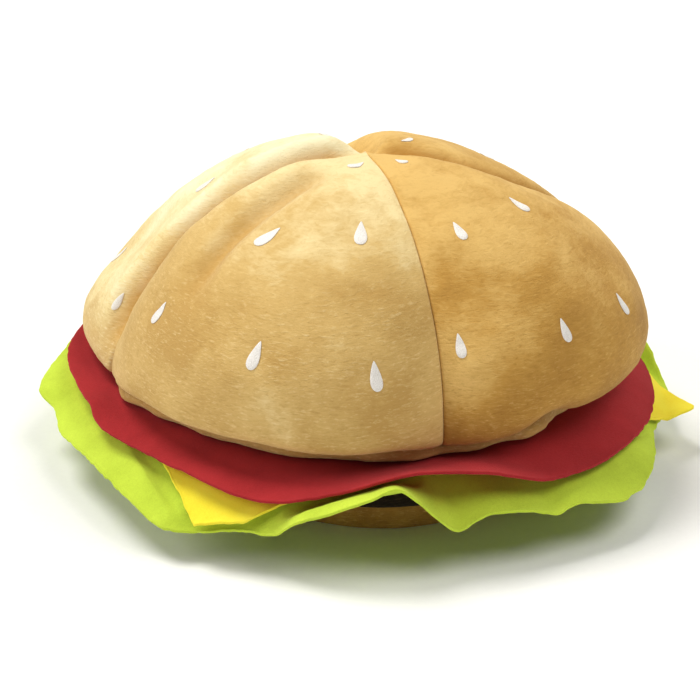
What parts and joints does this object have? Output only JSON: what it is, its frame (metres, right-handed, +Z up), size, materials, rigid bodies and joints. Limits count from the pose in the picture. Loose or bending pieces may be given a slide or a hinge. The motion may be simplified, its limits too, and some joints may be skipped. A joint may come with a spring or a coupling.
{
  "type": "plush hamburger hat",
  "caption": "Soft costume hat shaped like a burger: a hollow plush bun crown with embroidered seeds over felt tomato, cheese and lettuce, a padded patty and a padded band for the head.",
  "frame": {"origin": "centre of the oval head opening, on the surface that the hat rests on", "axes": "+Z up along the axis of the crown, -Y to the front seam between the two front panels, +X to the wearer's left as seen from the front"},
  "size_m": [0.3283, 0.3118, 0.1664],
  "materials": {
    "bun_plush": "short-pile golden tan plush",
    "seed_thread": "off-white satin stitch embroidery",
    "tomato_felt": "matt red felt",
    "cheese_felt": "matt yellow felt",
    "lettuce_felt": "matt lime green felt",
    "patty_plush": "dark brown short-pile plush"
  },
  "bodies": {
    "root": {"gore_front_left": "bun_plush", "gore_front_right": "bun_plush", "gore_back_right": "bun_plush", "gore_back_left": "bun_plush", "bun_base": "bun_plush", "lower_bun": "bun_plush", "patty": "patty_plush", "tomato": "tomato_felt", "cheese": "cheese_felt", "lettuce": "lettuce_felt", "seed_front_left_1": "seed_thread", "seed_front_left_2": "seed_thread", "seed_front_left_3": "seed_thread", "seed_front_left_4": "seed_thread", "seed_front_left_5": "seed_thread", "seed_front_left_6": "seed_thread", "seed_front_right_1": "seed_thread", "seed_front_right_2": "seed_thread", "seed_front_right_3": "seed_thread", "seed_front_right_4": "seed_thread", "seed_front_right_5": "seed_thread", "seed_front_right_6": "seed_thread", "seed_back_right_1": "seed_thread", "seed_back_right_2": "seed_thread", "seed_back_right_3": "seed_thread", "seed_back_right_4": "seed_thread", "seed_back_right_5": "seed_thread", "seed_back_right_6": "seed_thread", "seed_back_left_1": "seed_thread", "seed_back_left_2": "seed_thread", "seed_back_left_3": "seed_thread", "seed_back_left_4": "seed_thread", "seed_back_left_5": "seed_thread", "seed_back_left_6": "seed_thread"}
  },
  "joints": []
}
